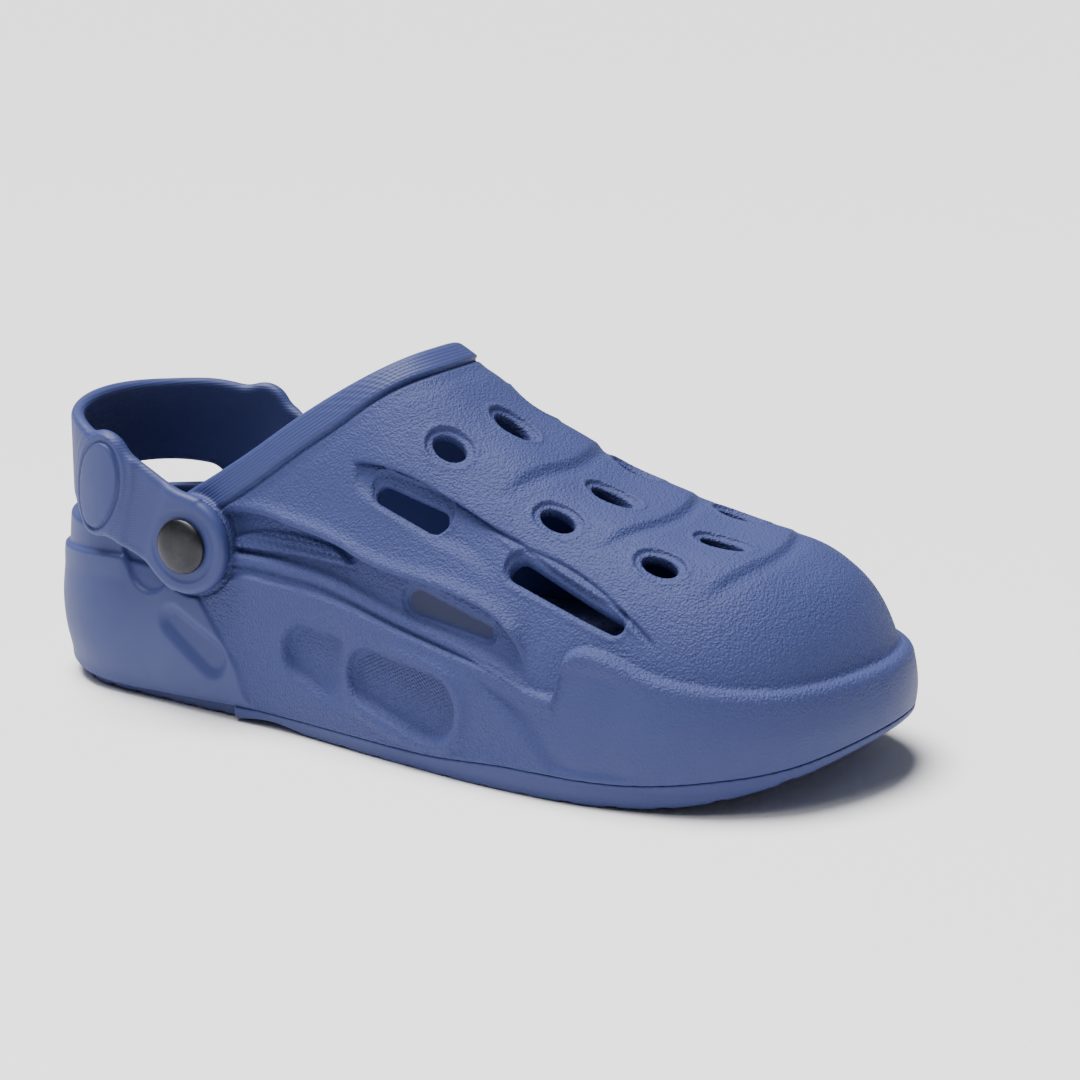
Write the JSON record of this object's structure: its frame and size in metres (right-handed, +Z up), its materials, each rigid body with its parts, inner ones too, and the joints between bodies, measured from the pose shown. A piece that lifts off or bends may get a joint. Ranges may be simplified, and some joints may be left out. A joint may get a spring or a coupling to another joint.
{
  "type": "garden clog",
  "caption": "Rubber garden clog for the right foot: vented upper with a sculpted thick sole and a heel strap that swings on rivets.",
  "frame": {"origin": "on the ground under the centre of the clog's bounding box", "axes": "+X towards the toe, +Y towards the medial (inner) side of the foot, +Z up"},
  "size_m": [0.2962, 0.1179, 0.1186],
  "materials": {
    "body_foam": "matte moulded foam with a fine leather-like grain",
    "outsole_rubber": "matte rubber, smooth sides and a grooved tread",
    "insole_foam": "matte foam footbed",
    "strap_foam": "matte moulded foam",
    "rivet_metal": "dark satin metal dome",
    "rivet_plastic": "dark matte plastic"
  },
  "bodies": {
    "root": {"clog_body": "body_foam", "outsole": "outsole_rubber", "insole": "insole_foam", "rivet_cap_lateral": "rivet_metal", "rivet_cap_medial": "rivet_metal", "rivet_back_lateral": "rivet_plastic", "rivet_back_medial": "rivet_plastic"},
    "strap": {"heel_strap": "strap_foam"}
  },
  "joints": [
    {"name": "strap_pivot", "type": "hinge", "parent": "root", "child": "strap", "pos_m": [-0.0725, 0.0025, 0.056], "axis": [0, 1, 0], "range_deg": [-2.5, 92]}
  ]
}
